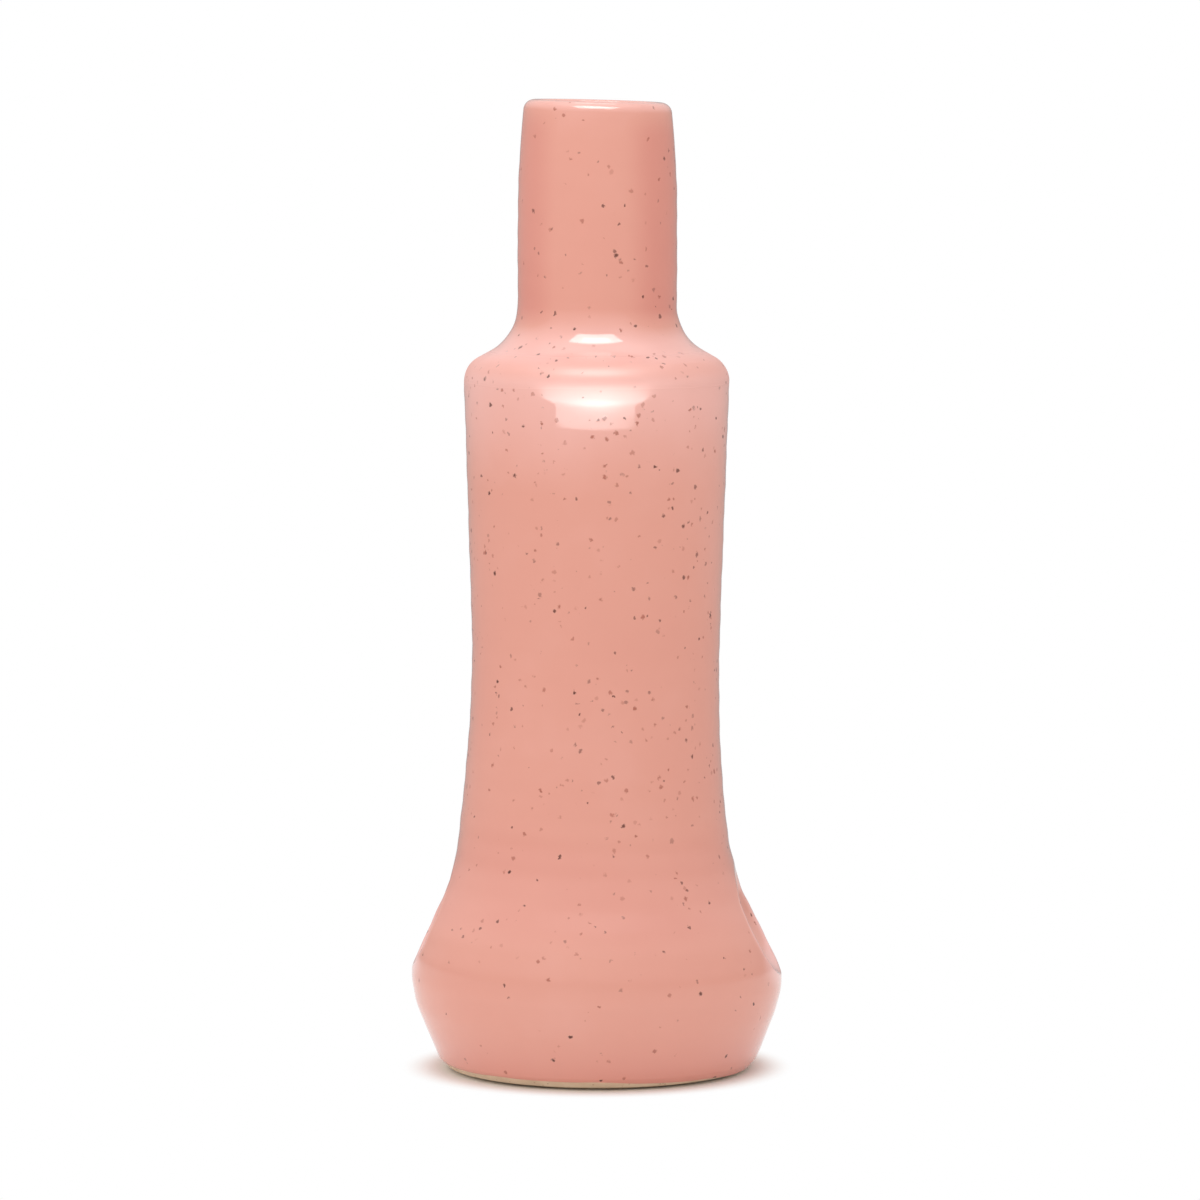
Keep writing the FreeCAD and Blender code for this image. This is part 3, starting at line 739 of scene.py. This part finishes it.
def glossy_speckled_glaze(colours):
    """Pink glaze fired glossy over iron-bearing clay.

    It was poured and melted smooth, so it mirrors lamps sharply, but for a satin band round the
    shoulder's edge, where it drew off. It is paler where it drew thin over the lip. Over the
    shoulder and along the ridges of the thumb marks it is paler from thinner glaze and from
    painted light. It is deeper where it pooled, as on the foot, and darker by painted shade on
    the flare, on the shoulder's edge and down both sides of the neck. Iron from the clay bled
    through as brown specks 0.4 to 1 mm across.
    """
    glaze_ior = 1.5
    material, tree = new_material("glossy_speckled_glaze")
    place = add(tree, "TexCoord").outputs["Object"]
    height = add(tree, "SeparateXYZ", {0: place}).outputs[2]
    thickness = add(tree, "Attribute", attribute_name="glaze_depth_and_painted_shading").outputs["Fac"]

    # The glaze ate into the specks, so their edges are ragged by half a millimetre.
    grain, reach = 0.8 * MM, 1.1 * MM
    ragged = add(tree, "TexNoise", noise(place, grain, 1.0)).outputs["Color"]
    mean = (0.5, 0.5, 0.5)
    shift = add(tree, "VectorMath", {0: ragged, 1: mean}, operation="SUBTRACT")
    moved = add(tree, "VectorMath", {0: shift, "Scale": reach}, operation="SCALE")
    coords = add(tree, "VectorMath", {0: place, 1: moved}, operation="ADD")

    # They crowd in patches, and are fewer on the belly and on the neck.
    patch = 11 * MM
    patches = add(tree, "TexNoise", noise(place, patch, 2.0))
    crowd = add(tree, "MapRange", ramp(patches, 0.36, 0.64, 0.15, 1.85))
    low = add(tree, "MapRange", ramp(height, 20 * MM, 80 * MM, 0.25, 0.9))
    high = add(tree, "MapRange", ramp(height, 188 * MM, 205 * MM, 1.0, 0.62))
    by_height = add(tree, "Math", {0: low, 1: high}, operation="MULTIPLY")
    crowding = add(tree, "Math", {0: crowd, 1: by_height}, operation="MULTIPLY")
    dark, darkness = speck_layer(
        tree, coords, crowding, spacing=2.5 * MM, small=0.42 * MM, large=0.82 * MM, share=0.3
    )
    other = (0.37, 0.11, 0.23)  # far enough off for other draws
    beside = add(tree, "VectorMath", {0: coords, 1: other}, operation="ADD")
    faint, faintness = speck_layer(
        tree, beside, crowding, spacing=2.3 * MM, small=0.44 * MM, large=0.82 * MM, share=0.27
    )

    # The coat's depth varies softly by a seventh, over a few centimetres.
    cloud, uneven = 34 * MM, 0.14
    clouds = add(tree, "TexNoise", noise(place, cloud, 3.0))
    drift = add(tree, "MapRange", ramp(clouds, 0.3, 0.7, -uneven, uneven))
    pool = add(tree, "Math", {0: thickness, 1: drift}, operation="ADD")
    # Shares of the pale and the deep tint: thinner and pooled glaze, with the painted light and
    # painted shade that the attribute carries.
    thin, thick_and_shaded = (
        add(tree, "Math", {0: pool, 1: sign}, operation="MULTIPLY", use_clamp=True)
        for sign in (-1.0, 1.0)
    )
    veil = add(tree, "Math", {0: faintness, 1: 0.6, 2: 0.25}, operation="MULTIPLY_ADD")
    stain = add(tree, "Math", {0: faint, 1: veil}, operation="MULTIPLY")
    depth = add(tree, "Math", {0: darkness, 1: 0.7, 2: 0.3}, operation="MULTIPLY_ADD")
    iron = add(tree, "Math", {0: dark, 1: depth}, operation="MULTIPLY")
    pale, deep = (thin, colours.thin_glaze_and_painted_light), (thick_and_shaded, colours.thick_glaze_and_painted_shade)
    rust = (stain, colours.speck_halo), (iron, colours.speck)
    coat = tinted(tree, colours.glaze, pale, deep, *rust)

    satin_gloss, speck_dullness = 0.36, 0.2
    gloss = add(tree, "MapRange", ramp(clouds, 0.3, 0.7, 0.05, 0.09))
    satin = add(tree, "MapRange", ramp(height, 178 * MM, 183 * MM, 0.0, satin_gloss))
    crest = add(tree, "MapRange", ramp(height, 187 * MM, 191 * MM, 1.0, 0.0))
    satin = add(tree, "Math", {0: satin, 1: crest}, operation="MULTIPLY")
    gloss = add(tree, "Math", {0: gloss, 1: satin}, operation="ADD")
    roughness = add(tree, "Math", {0: iron, 1: speck_dullness, 2: gloss}, operation="MULTIPLY_ADD")

    # The melt ripples by some hundredths of a millimetre, and the specks stand up a little.
    ripple, ripple_height, speck_height = 6 * MM, 0.008, 0.02
    wave = add(tree, "TexNoise", noise(place, ripple, 1.0))
    raised = add(tree, "Math", {0: dark, 1: speck_height}, operation="MULTIPLY")
    relief = add(tree, "Math", {0: wave, 1: ripple_height, 2: raised}, operation="MULTIPLY_ADD")
    relief = add(tree, "Bump", {"Height": relief, "Distance": MM, "Strength": 0.5})
    surface = {"Base Color": coat, "Roughness": roughness, "Normal": relief, "IOR": glaze_ior}
    shader = add(tree, "BsdfPrincipled", surface)
    add(tree, "OutputMaterial", {"Surface": shader})
    return material


def bare_stoneware(colours):
    """Buff stoneware fired bare.

    The foot was trimmed on the wheel and wiped, so it is matt, with fine rings from the tool
    and grains of grog that show as small brown dots. The grit is drawn coarser than it is,
    to show at all.
    """
    grain, tool_pitch, grit_size, mottle_size = 0.9 * MM, 1.3 * MM, 0.35 * MM, 5 * MM
    grain_share, grain_strength = 0.22, 0.6
    ring_share, relief_height = 0.25, 0.12 * MM
    bare_roughness = 0.88
    material, tree = new_material("bare_stoneware")
    place = add(tree, "TexCoord").outputs["Object"]
    grains = add(tree, "TexVoronoi", {"Vector": place, "Scale": 1 / grain})
    chance = add(tree, "TexWhiteNoise", {"Vector": grains.outputs["Color"]})
    dots = add(tree, "MapRange", ramp(grains.outputs["Distance"], 0.32, 0.18))
    few = add(tree, "Math", {0: chance, 1: grain_share}, operation="LESS_THAN")
    grog = add(tree, "Math", {0: dots, 1: few}, operation="MULTIPLY")
    grog = add(tree, "Math", {0: grog, 1: grain_strength}, operation="MULTIPLY")
    mottle = add(tree, "TexNoise", noise(place, mottle_size, 4.0))
    tone = add(tree, "MapRange", ramp(mottle, 0.3, 0.7, 0.0, 0.3))
    body = tinted(tree, colours.clay, (tone, colours.clay_grog), (grog, colours.clay_grog))

    parts = add(tree, "SeparateXYZ", {0: place})
    level = add(tree, "CombineXYZ", {0: parts.outputs[0], 1: parts.outputs[1]})
    reach = add(tree, "VectorMath", {0: level}, operation="LENGTH").outputs["Value"]
    full_turn = 2 * math.pi / tool_pitch
    turns = add(tree, "Math", {0: reach, 1: full_turn}, operation="MULTIPLY")
    rings = add(tree, "Math", {0: turns}, operation="SINE")
    grit = add(tree, "TexNoise", noise(place, grit_size, 3.0))
    relief = add(tree, "Math", {0: rings, 1: ring_share, 2: grit}, operation="MULTIPLY_ADD")
    relief = add(tree, "Bump", {"Height": relief, "Distance": relief_height, "Strength": 0.8})
    surface = {"Base Color": body, "Roughness": bare_roughness, "Normal": relief}
    shader = add(tree, "BsdfPrincipled", surface)
    add(tree, "OutputMaterial", {"Surface": shader})
    return material


def dress(piece, material, thicker=0.0):
    """Give a piece its material and the share by which its glaze is thicker at each point,
    with painted light and painted shade counted in.
    """
    piece.data.materials.clear()
    piece.data.materials.append(material)
    layer = piece.data.attributes.new("glaze_depth_and_painted_shading", "FLOAT", "POINT")
    shares = np.broadcast_to(thicker, len(piece.data.vertices))
    layer.data.foreach_set("value", shares.astype(np.float32))


class VASE_OT_throw_clay(Operator):
    """Throw the clay pot, thumb its belly and trim its foot"""

    bl_idname = "vase.throw_clay"
    bl_label = "Throw the clay"

    def execute(self, context):
        scene = context.scene
        sizes, marks = scene.vase_sizes, (scene.right_thumb, scene.left_thumb)
        inside_depth = sizes.glaze + sizes.clay_wall
        shoulder_inset = inside_depth + sizes.shoulder_inside
        floor = sizes.floor_height()
        outside = Turned(sizes, sizes.glaze, sizes.shoulder_round, 0, sizes.foot_round)
        inside = Turned(sizes, inside_depth, shoulder_inset, floor, sizes.floor_round)

        # Mostly hidden under the glaze, so the rows are twice as long
        links = [inside.floor_link(Row.floor_edge)]
        links += coarser(backwards(inside.side_links()), 2)
        links.append(inside.hollow_neck_link())
        links += coarser(outside.lip_links() + outside.side_links(), 2)

        # The trimmed wall leans in to its lower edge, and the foot's ring starts further in.
        lean = -sizes.stand_lean
        wall_top = outside.stand_point(sizes.stand_height)
        wall_reach = heading(lean).dot(wall_top) - sizes.stand_edge
        heel_height = sizes.stand_gap + sizes.stand_edge
        heel = crossing(heading(lean), wall_reach, Vector((0, 0, 1)), heel_height)
        under = math.atan2(sizes.stand_gap, heel.x - outside.foot.x) + DOWN
        ring_round = 0.3 * MM
        ring = outside.foot + Vector((0, 0, ring_round - sizes.foot_round))
        ring_inside = outside.foot.x - sizes.foot_ring
        edge = Vector((ring_inside, 0, sizes.foot_edge))
        edge_turn = -math.pi + sizes.recess_slope
        links += [
            outside.foot_link(Row.foot),
            (heel, sizes.stand_edge, lean, under, Row.foot_edge),
            (ring, ring_round, under, DOWN, Row.foot_edge),
            (edge, sizes.foot_edge, DOWN, edge_turn, Row.ring_edge),
        ]
        edge_end = edge + heading(edge_turn) * sizes.foot_edge
        recess_run = (sizes.recess_depth - edge_end.z) * math.tan(sizes.recess_slope)
        ceiling = Vector((edge_end.x - recess_run, 0, sizes.recess_depth))

        middle = Vector((0, 0, floor))
        place_pen("stoneware_pot", middle)
        draw_line(middle, start_of(links[0]), Row.plain_line)
        end = continue_section(links)
        draw_line(end, ceiling, Row.recess)
        draw_line(ceiling, Vector((0, 0, sizes.recess_depth)), Row.underside)
        pot = turn_section()
        sharpen_ridges(pot, sizes, marks)
        press(pot, sizes, marks, sizes.glaze, inside_depth)
        settle(pot, sizes)
        dress(pot, bare_stoneware(scene.vase_colours))
        finish_piece(pot, "stoneware_body")
        return {"FINISHED"}


class VASE_OT_pour_outer_glaze(Operator):
    """Coat the outside, from the wiped line over the foot up over the lip and into the mouth"""

    bl_idname = "vase.pour_outer_glaze"
    bl_label = "Glaze the outside"

    def execute(self, context):
        scene = context.scene
        sizes, marks = scene.vase_sizes, (scene.right_thumb, scene.left_thumb)
        shown = Turned(sizes, 0, sizes.shoulder_round, 0, sizes.foot_round)
        hidden = Turned(sizes, sizes.glaze, sizes.shoulder_round, 0, sizes.foot_round)
        links = shown.lip_links() + shown.side_links() + [shown.foot_link(Row.glazed_foot)]
        back = backwards([hidden.foot_link(Row.hidden_foot)])
        back += coarser(backwards(hidden.lip_links() + hidden.side_links()), 2)
        bead = sizes.glaze / 2
        start = start_of(links[0])
        lower = shown.stand_point(sizes.glaze_line)
        upper = hidden.stand_point(sizes.glaze_line)

        place_pen("glaze_coat", start)
        end = continue_section(links, Row.glazed_line)
        draw_line(end, lower, bead)
        draw_line(lower, upper, bead)
        draw_line(upper, hidden.stand_point(sizes.stand_height), bead)
        end = continue_section(back)
        draw_line(end, start, bead)
        coat = turn_section()
        sharpen_ridges(coat, sizes, marks)
        # Thicker or thinner glaze, with the painted highlight on the ridges and the painted light
        # and shade of glaze_flow counted in.
        thicker = press(coat, sizes, marks, 0, sizes.glaze) + glaze_flow(coat, sizes)
        trim_glaze(coat, sizes, shown, hidden)
        settle(coat, sizes)
        dress(coat, glossy_speckled_glaze(scene.vase_colours), thicker)
        finish_piece(coat, "outer_glaze")
        return {"FINISHED"}


class VASE_OT_pour_liner_glaze(Operator):
    """Coat the inside, from the lap under the lip down over the floor"""

    bl_idname = "vase.pour_liner_glaze"
    bl_label = "Glaze the inside"

    def execute(self, context):
        scene = context.scene
        sizes, marks = scene.vase_sizes, (scene.right_thumb, scene.left_thumb)
        clay = sizes.glaze + sizes.clay_wall
        floor = sizes.floor_height()
        surface = floor + sizes.glaze
        shoulder_inset = clay + sizes.shoulder_inside
        corner = sizes.floor_round - sizes.glaze
        shown = Turned(sizes, clay + sizes.glaze, shoulder_inset, surface, corner)
        hidden = Turned(sizes, clay, shoulder_inset, floor, sizes.floor_round)
        liner_rows = 1.8  # times as long as outside
        up, down = (
            [
                side.floor_link(Row.liner_edge),
                *coarser(backwards(side.side_links()), liner_rows),
                side.hollow_neck_link(),
            ]
            for side in (shown, hidden)
        )
        down = backwards(down)

        middle = Vector((0, 0, surface))
        place_pen("liner_coat", middle)
        draw_line(middle, start_of(up[0]), Row.hollow)
        end = continue_section(up)
        draw_line(end, start_of(down[0]), sizes.glaze)
        end = continue_section(down)
        draw_line(end, Vector((0, 0, floor)), Row.hidden_floor)
        coat = turn_section()
        press(coat, sizes, marks, clay, clay + sizes.glaze)
        settle(coat, sizes, hollow=True)
        dress(coat, bpy.data.materials["glossy_speckled_glaze"])
        finish_piece(coat, "inner_glaze")
        return {"FINISHED"}


def soft_lamp(name, place, target, width, depth, radiance, lights=True, mirrored=True):
    """A rectangular soft lamp that faces a point, so many times as bright as plain white."""
    lamp = bpy.data.lights.new(name, "AREA")
    lamp.shape = "RECTANGLE"
    lamp.size = width
    lamp.size_y = depth
    lamp.energy = radiance * math.pi * width * depth
    holder = bpy.data.objects.new(name, lamp)
    bpy.context.scene.collection.objects.link(holder)
    holder.location = place
    facing = (Vector(target) - Vector(place)).to_track_quat("-Z", "Y")
    holder.rotation_euler = facing.to_euler()
    holder.visible_camera = False
    holder.visible_diffuse = lights
    holder.visible_glossy = mirrored
    return holder


def lay_floor(colours, low_level):
    """White paper, matt as paper is.

    It takes the pot's shadow near the foot and is plain white further out. The gloss mirrors
    it darker with the distance, down to the given level.
    """
    floor_width = 8
    bpy.ops.object.select_all(action="DESELECT")
    bpy.ops.mesh.primitive_plane_add(size=floor_width, location=(0, 0, 0))
    floor = bpy.context.object
    floor.name = "floor"
    material, tree = new_material("white_paper")
    place = add(tree, "TexCoord").outputs["Object"]
    reach = add(tree, "VectorMath", {0: place}, operation="LENGTH").outputs["Value"]
    shadow_ends = ramp(reach, 41 * MM, 52 * MM)
    away = add(tree, "MapRange", shadow_ends, interpolation_type="SMOOTHSTEP")
    path = add(tree, "LightPath")
    mirrored = path.outputs["Is Glossy Ray"]
    seen = path.outputs["Is Camera Ray"]
    for ray in (mirrored, path.outputs["Is Transmission Ray"]):
        seen = add(tree, "Math", {0: seen, 1: ray}, operation="MAXIMUM")
    share = add(tree, "Math", {0: away, 1: seen}, operation="MULTIPLY")
    far = add(tree, "MapRange", ramp(reach, 120 * MM, 600 * MM, 1.0, low_level))
    level = add(tree, "Mix", {0: mirrored, 2: 1.0, 3: far})
    glow = {"Color": opaque(colours.backdrop), "Strength": level}
    lit = add(tree, "Emission", glow)
    matt = {"Base Color": opaque(colours.paper), "Roughness": 1.0, "Specular IOR Level": 0.0}
    paper = add(tree, "BsdfPrincipled", matt)
    mixed = add(tree, "MixShader", {0: share, 1: paper, 2: lit})
    add(tree, "OutputMaterial", {"Surface": mixed})
    floor.data.materials.append(material)


def light_room(backdrop, low_level):
    """White all round where it is seen, and a plain soft light on the pot.

    The gloss mirrors it from the low level at the horizon up to a bright ceiling, and all of
    it is a little brighter on the left.
    """
    sky_level, leftward = 0.92, -0.15
    world = bpy.data.worlds.new("white_room")
    bpy.context.scene.world = world
    world.use_nodes = True
    tree = world.node_tree
    tree.nodes.clear()
    path = add(tree, "LightPath")
    rays = {0: path.outputs["Is Camera Ray"], 1: path.outputs["Is Transmission Ray"]}
    seen = add(tree, "Math", rays, operation="MAXIMUM")
    room = add(tree, "TexCoord").outputs["Generated"]
    way = add(tree, "SeparateXYZ", {0: room}).outputs
    walls = add(tree, "MapRange", ramp(way[2], 0.05, 0.55, low_level, 0.95))
    ceiling = add(tree, "MapRange", ramp(way[2], 0.75, 0.97, 0.0, 1.2))
    high = add(tree, "Math", {0: walls, 1: ceiling}, operation="ADD")
    side = add(tree, "Math", {0: way[0], 1: leftward, 2: 1.0}, operation="MULTIPLY_ADD")
    plain = add(tree, "Math", {0: side, 1: sky_level}, operation="MULTIPLY")
    gloss = add(tree, "Math", {0: side, 1: high}, operation="MULTIPLY")
    mirrored = add(tree, "Mix", {0: path.outputs["Is Glossy Ray"], 2: plain, 3: gloss})
    level = add(tree, "Mix", {0: seen, 2: mirrored, 3: 1.0})
    sky = add(tree, "Background", {"Color": opaque(backdrop), "Strength": level})
    add(tree, "OutputWorld", {"Surface": sky})


def hang_reflector(turn):
    """The small bright panel that the shoulder mirrors: wide above, narrower below.

    It is a diffuser lit from behind, brightest in the middle. It shows only to what faces it
    from close by, because seen along the pot's edge it would eat into the outline from behind.
    """
    left, lower_width, bottom = -48 * MM, 92 * MM, 163.5 * MM
    steps = ((6 * MM, 1.0), (4 * MM, 1.58), (21 * MM, 1.0))  # rise, and how much it widens
    bpy.ops.object.select_all(action="DESELECT")
    bpy.ops.mesh.primitive_plane_add(size=MM, location=(0, 0, 0), enter_editmode=True)
    reflector = bpy.context.object
    reflector.name = "shoulder_reflector"
    bpy.ops.mesh.merge(type="CENTER")
    bpy.ops.transform.translate(value=(left, 0, bottom))
    bpy.ops.mesh.extrude_region_move(TRANSFORM_OT_translate={"value": (lower_width, 0, 0)})
    bpy.ops.mesh.select_all(action="SELECT")
    for rise, widen in steps:
        bpy.ops.mesh.extrude_region_move(TRANSFORM_OT_translate={"value": (0, 0, rise)})
        bpy.ops.transform.resize(value=(widen, 1, 1))
    bpy.ops.mesh.select_all(action="DESELECT")
    bpy.ops.object.mode_set(mode="OBJECT")
    reach = 84.7 * MM
    reflector.location = (reach * math.sin(turn), -reach * math.cos(turn), 0)
    reflector.rotation_euler = (0, 0, turn)

    core_height, core_half_width, core_half_rise = 171.5 * MM, 26 * MM, 3.2 * MM
    core_fall, core_level = -0.7, 9.0
    material, tree = new_material("lit_diffuser")
    place = add(tree, "TexCoord").outputs["Object"]
    aside, _level, height = add(tree, "SeparateXYZ", {0: place}).outputs
    across = add(tree, "Math", {0: aside, 1: 1 / core_half_width}, operation="MULTIPLY")
    up = add(tree, "Math", {0: height, 1: core_height}, operation="SUBTRACT")
    up = add(tree, "Math", {0: up, 1: 1 / core_half_rise}, operation="MULTIPLY")
    off = add(tree, "CombineXYZ", {0: across, 1: up})
    square = add(tree, "VectorMath", {0: off, 1: off}, operation="DOT_PRODUCT")
    square = square.outputs["Value"]
    fade = add(tree, "Math", {0: square, 1: core_fall}, operation="MULTIPLY")
    core = add(tree, "Math", {0: math.e, 1: fade}, operation="POWER")
    base = add(tree, "MapRange", ramp(height, 169 * MM, 172 * MM, 4.4, 7.2))
    top = add(tree, "MapRange", ramp(height, 180 * MM, 194 * MM, 1.0, 0.5))
    base = add(tree, "Math", {0: base, 1: top}, operation="MULTIPLY")
    level = add(tree, "Math", {0: core, 1: core_level, 2: base}, operation="MULTIPLY_ADD")

    # From the shoulder the way to the panel is this much longer per square metre aside.
    longer_aside = 5.8
    way = add(tree, "LightPath").outputs["Ray Length"]
    wide = add(tree, "Math", {0: aside, 1: 2.0}, operation="POWER")
    over = add(tree, "Math", {0: wide, 1: -longer_aside, 2: way}, operation="MULTIPLY_ADD")
    near = add(tree, "MapRange", ramp(over, 54 * MM, 60 * MM, 1.0, 0.0))
    clear = add(tree, "BsdfTransparent")
    lit = add(tree, "Emission", {"Color": (1, 1, 1, 1), "Strength": level})
    glow = add(tree, "MixShader", {0: near, 1: clear, 2: lit})
    add(tree, "OutputMaterial", {"Surface": glow})
    reflector.data.materials.append(material)
    for ray in ("camera", "diffuse", "transmission", "volume_scatter", "shadow"):
        setattr(reflector, "visible_" + ray, False)


class VASE_OT_set_stage(Operator):
    """Lay the pale floor and set up the soft lamps and the camera"""

    bl_idname = "vase.set_stage"
    bl_label = "Set the stage"

    def execute(self, context):
        scene = context.scene
        low_level = 0.38  # how bright the gloss mirrors the far floor and the horizon
        camera_turn = math.radians(2.44)
        camera_reach, camera_height = 1.746, 0.2867
        camera_pitch, camera_yaw = 5.34, 0.026
        sensor, focal_length = 36, 200.72

        lay_floor(scene.vase_colours, low_level)
        light_room(scene.vase_colours.backdrop, low_level)

        # Each has its place, what it faces, its width and depth and how bright it is.
        over, before_neck, tube, behind = (0, -0.27), (0, -0.25), (0, -0.15), (0, 0.33)
        soft_lamp("overhead_softbox", (*over, 0.795), (*over, 0), 0.56, 0.46, 1.2, mirrored=False)
        soft_lamp("neck_fill", (*before_neck, 0.27), (0, 0, 0.235), 0.1, 0.1, 1.2, mirrored=False)
        soft_lamp(
            "mirrored_softbox", (0, -0.184, 0.55), (0, -0.184, 0), 0.3, 0.2, 8.0, lights=False
        )
        soft_lamp("mirrored_tube", (*tube, 0.545), (*tube, 0), 0.16, 0.08, 5.0, lights=False)
        soft_lamp("rear_panel", (-0.01, 0.33, 0.8), (*behind, 0), 0.13, 0.2, 3.5)
        hang_reflector(camera_turn)

        camera = bpy.data.cameras.new("camera")
        camera.sensor_width = sensor
        camera.lens = focal_length
        holder = bpy.data.objects.new("camera", camera)
        scene.collection.objects.link(holder)
        aside = camera_reach * math.sin(camera_turn)
        holder.location = (aside, -camera_reach * math.cos(camera_turn), camera_height)
        pitch, yaw = math.radians(90 - camera_pitch), math.radians(camera_yaw)
        holder.rotation_euler = (pitch, 0, camera_turn - yaw)
        scene.camera = holder
        scene.view_settings.view_transform = "Standard"
        return {"FINISHED"}


class VASE_PT_tools(Panel):
    """Lists the steps that make the vase"""

    bl_label = "Bottle vase"
    bl_idname = "VASE_PT_tools"
    bl_space_type = "VIEW_3D"
    bl_region_type = "UI"
    bl_category = "Vase"

    def draw(self, context):
        for step in STEPS:
            self.layout.operator(step.bl_idname)


GROUPS = {
    "vase_sizes": VaseSizes,
    "right_thumb": RightThumb,
    "left_thumb": LeftThumb,
    "vase_colours": VaseColours,
}
STEPS = (
    VASE_OT_throw_clay,
    VASE_OT_pour_outer_glaze,
    VASE_OT_pour_liner_glaze,
    VASE_OT_set_stage,
)
CLASSES = (*GROUPS.values(), *STEPS, VASE_PT_tools)


def register():
    for item in CLASSES:
        bpy.utils.register_class(item)
    for name, group in GROUPS.items():
        setattr(bpy.types.Scene, name, PointerProperty(type=group))


def unregister():
    for name in GROUPS:
        delattr(bpy.types.Scene, name)
    for item in reversed(CLASSES):
        bpy.utils.unregister_class(item)


def main():
    register()
    bpy.ops.vase.throw_clay()
    bpy.ops.vase.pour_outer_glaze()
    bpy.ops.vase.pour_liner_glaze()
    bpy.ops.vase.set_stage()


if __name__ == "__main__":
    main()
